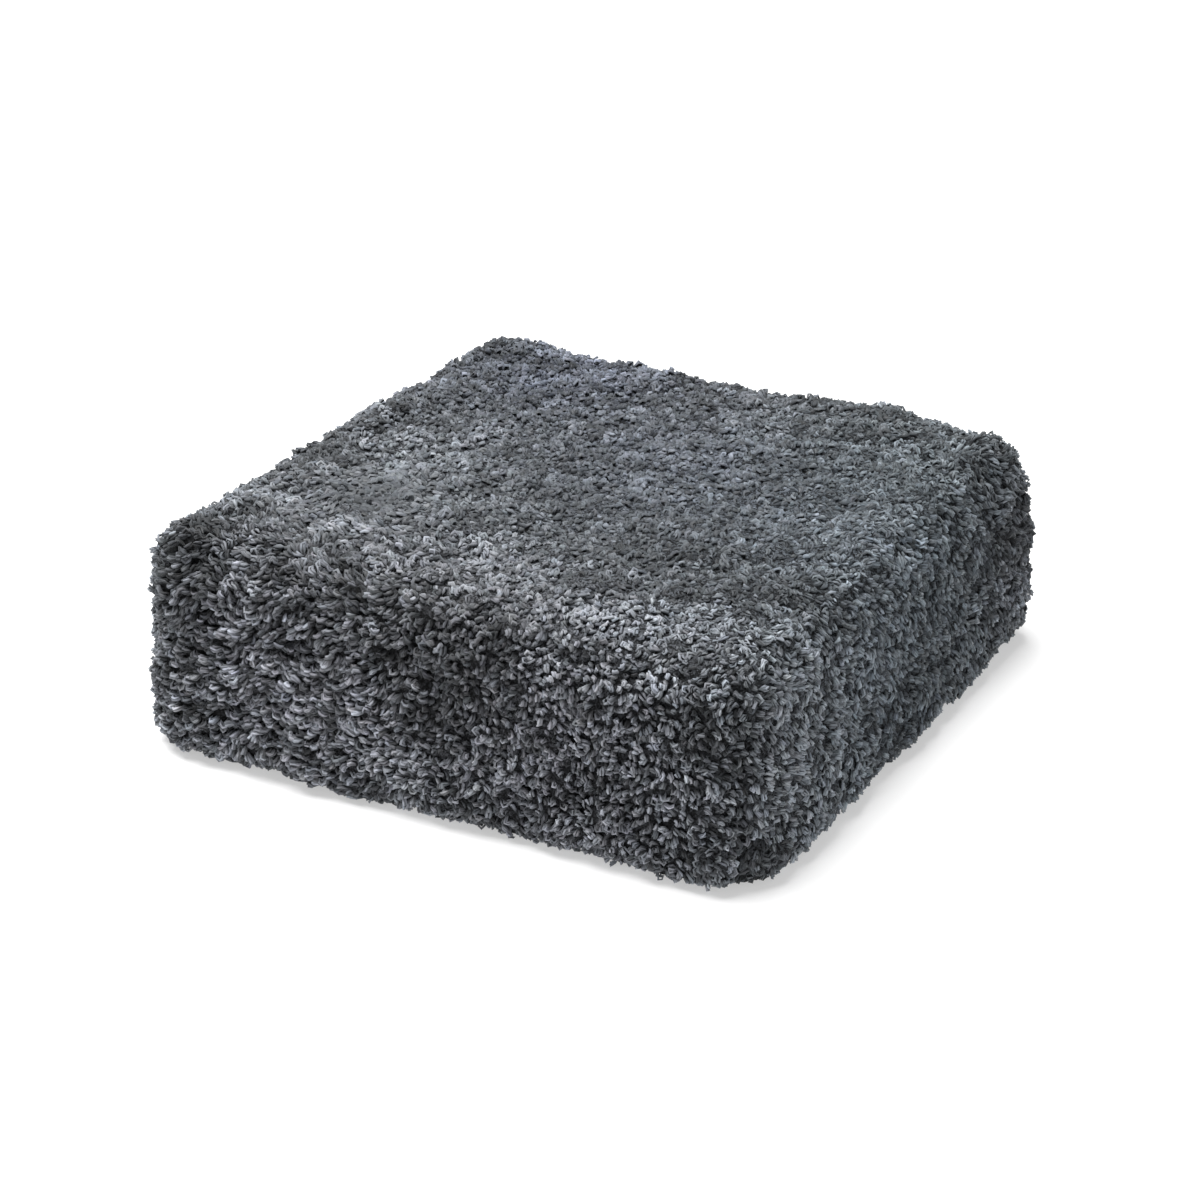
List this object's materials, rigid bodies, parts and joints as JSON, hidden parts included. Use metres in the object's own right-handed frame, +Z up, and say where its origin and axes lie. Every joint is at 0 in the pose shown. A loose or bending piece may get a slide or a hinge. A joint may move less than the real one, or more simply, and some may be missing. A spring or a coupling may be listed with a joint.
{
  "type": "sheepskin pouf",
  "caption": "Low square pouf with rounded edges and a slight crown, covered all over in short curly grey fleece, resting on a flat underside.",
  "frame": {"origin": "middle of the flat underside, below the middle of the outline", "axes": "+Z up; the four walls face -Y (front, the large wall in the picture), +X, +Y and -X"},
  "size_m": [0.5744, 0.576, 0.1884],
  "materials": {
    "fleece": "short curly graphite grey sheepskin, matt, with a soft sheen on the tips of the curls"
  },
  "bodies": {
    "root": {"filled_fleece_pouf": "fleece"}
  },
  "joints": []
}
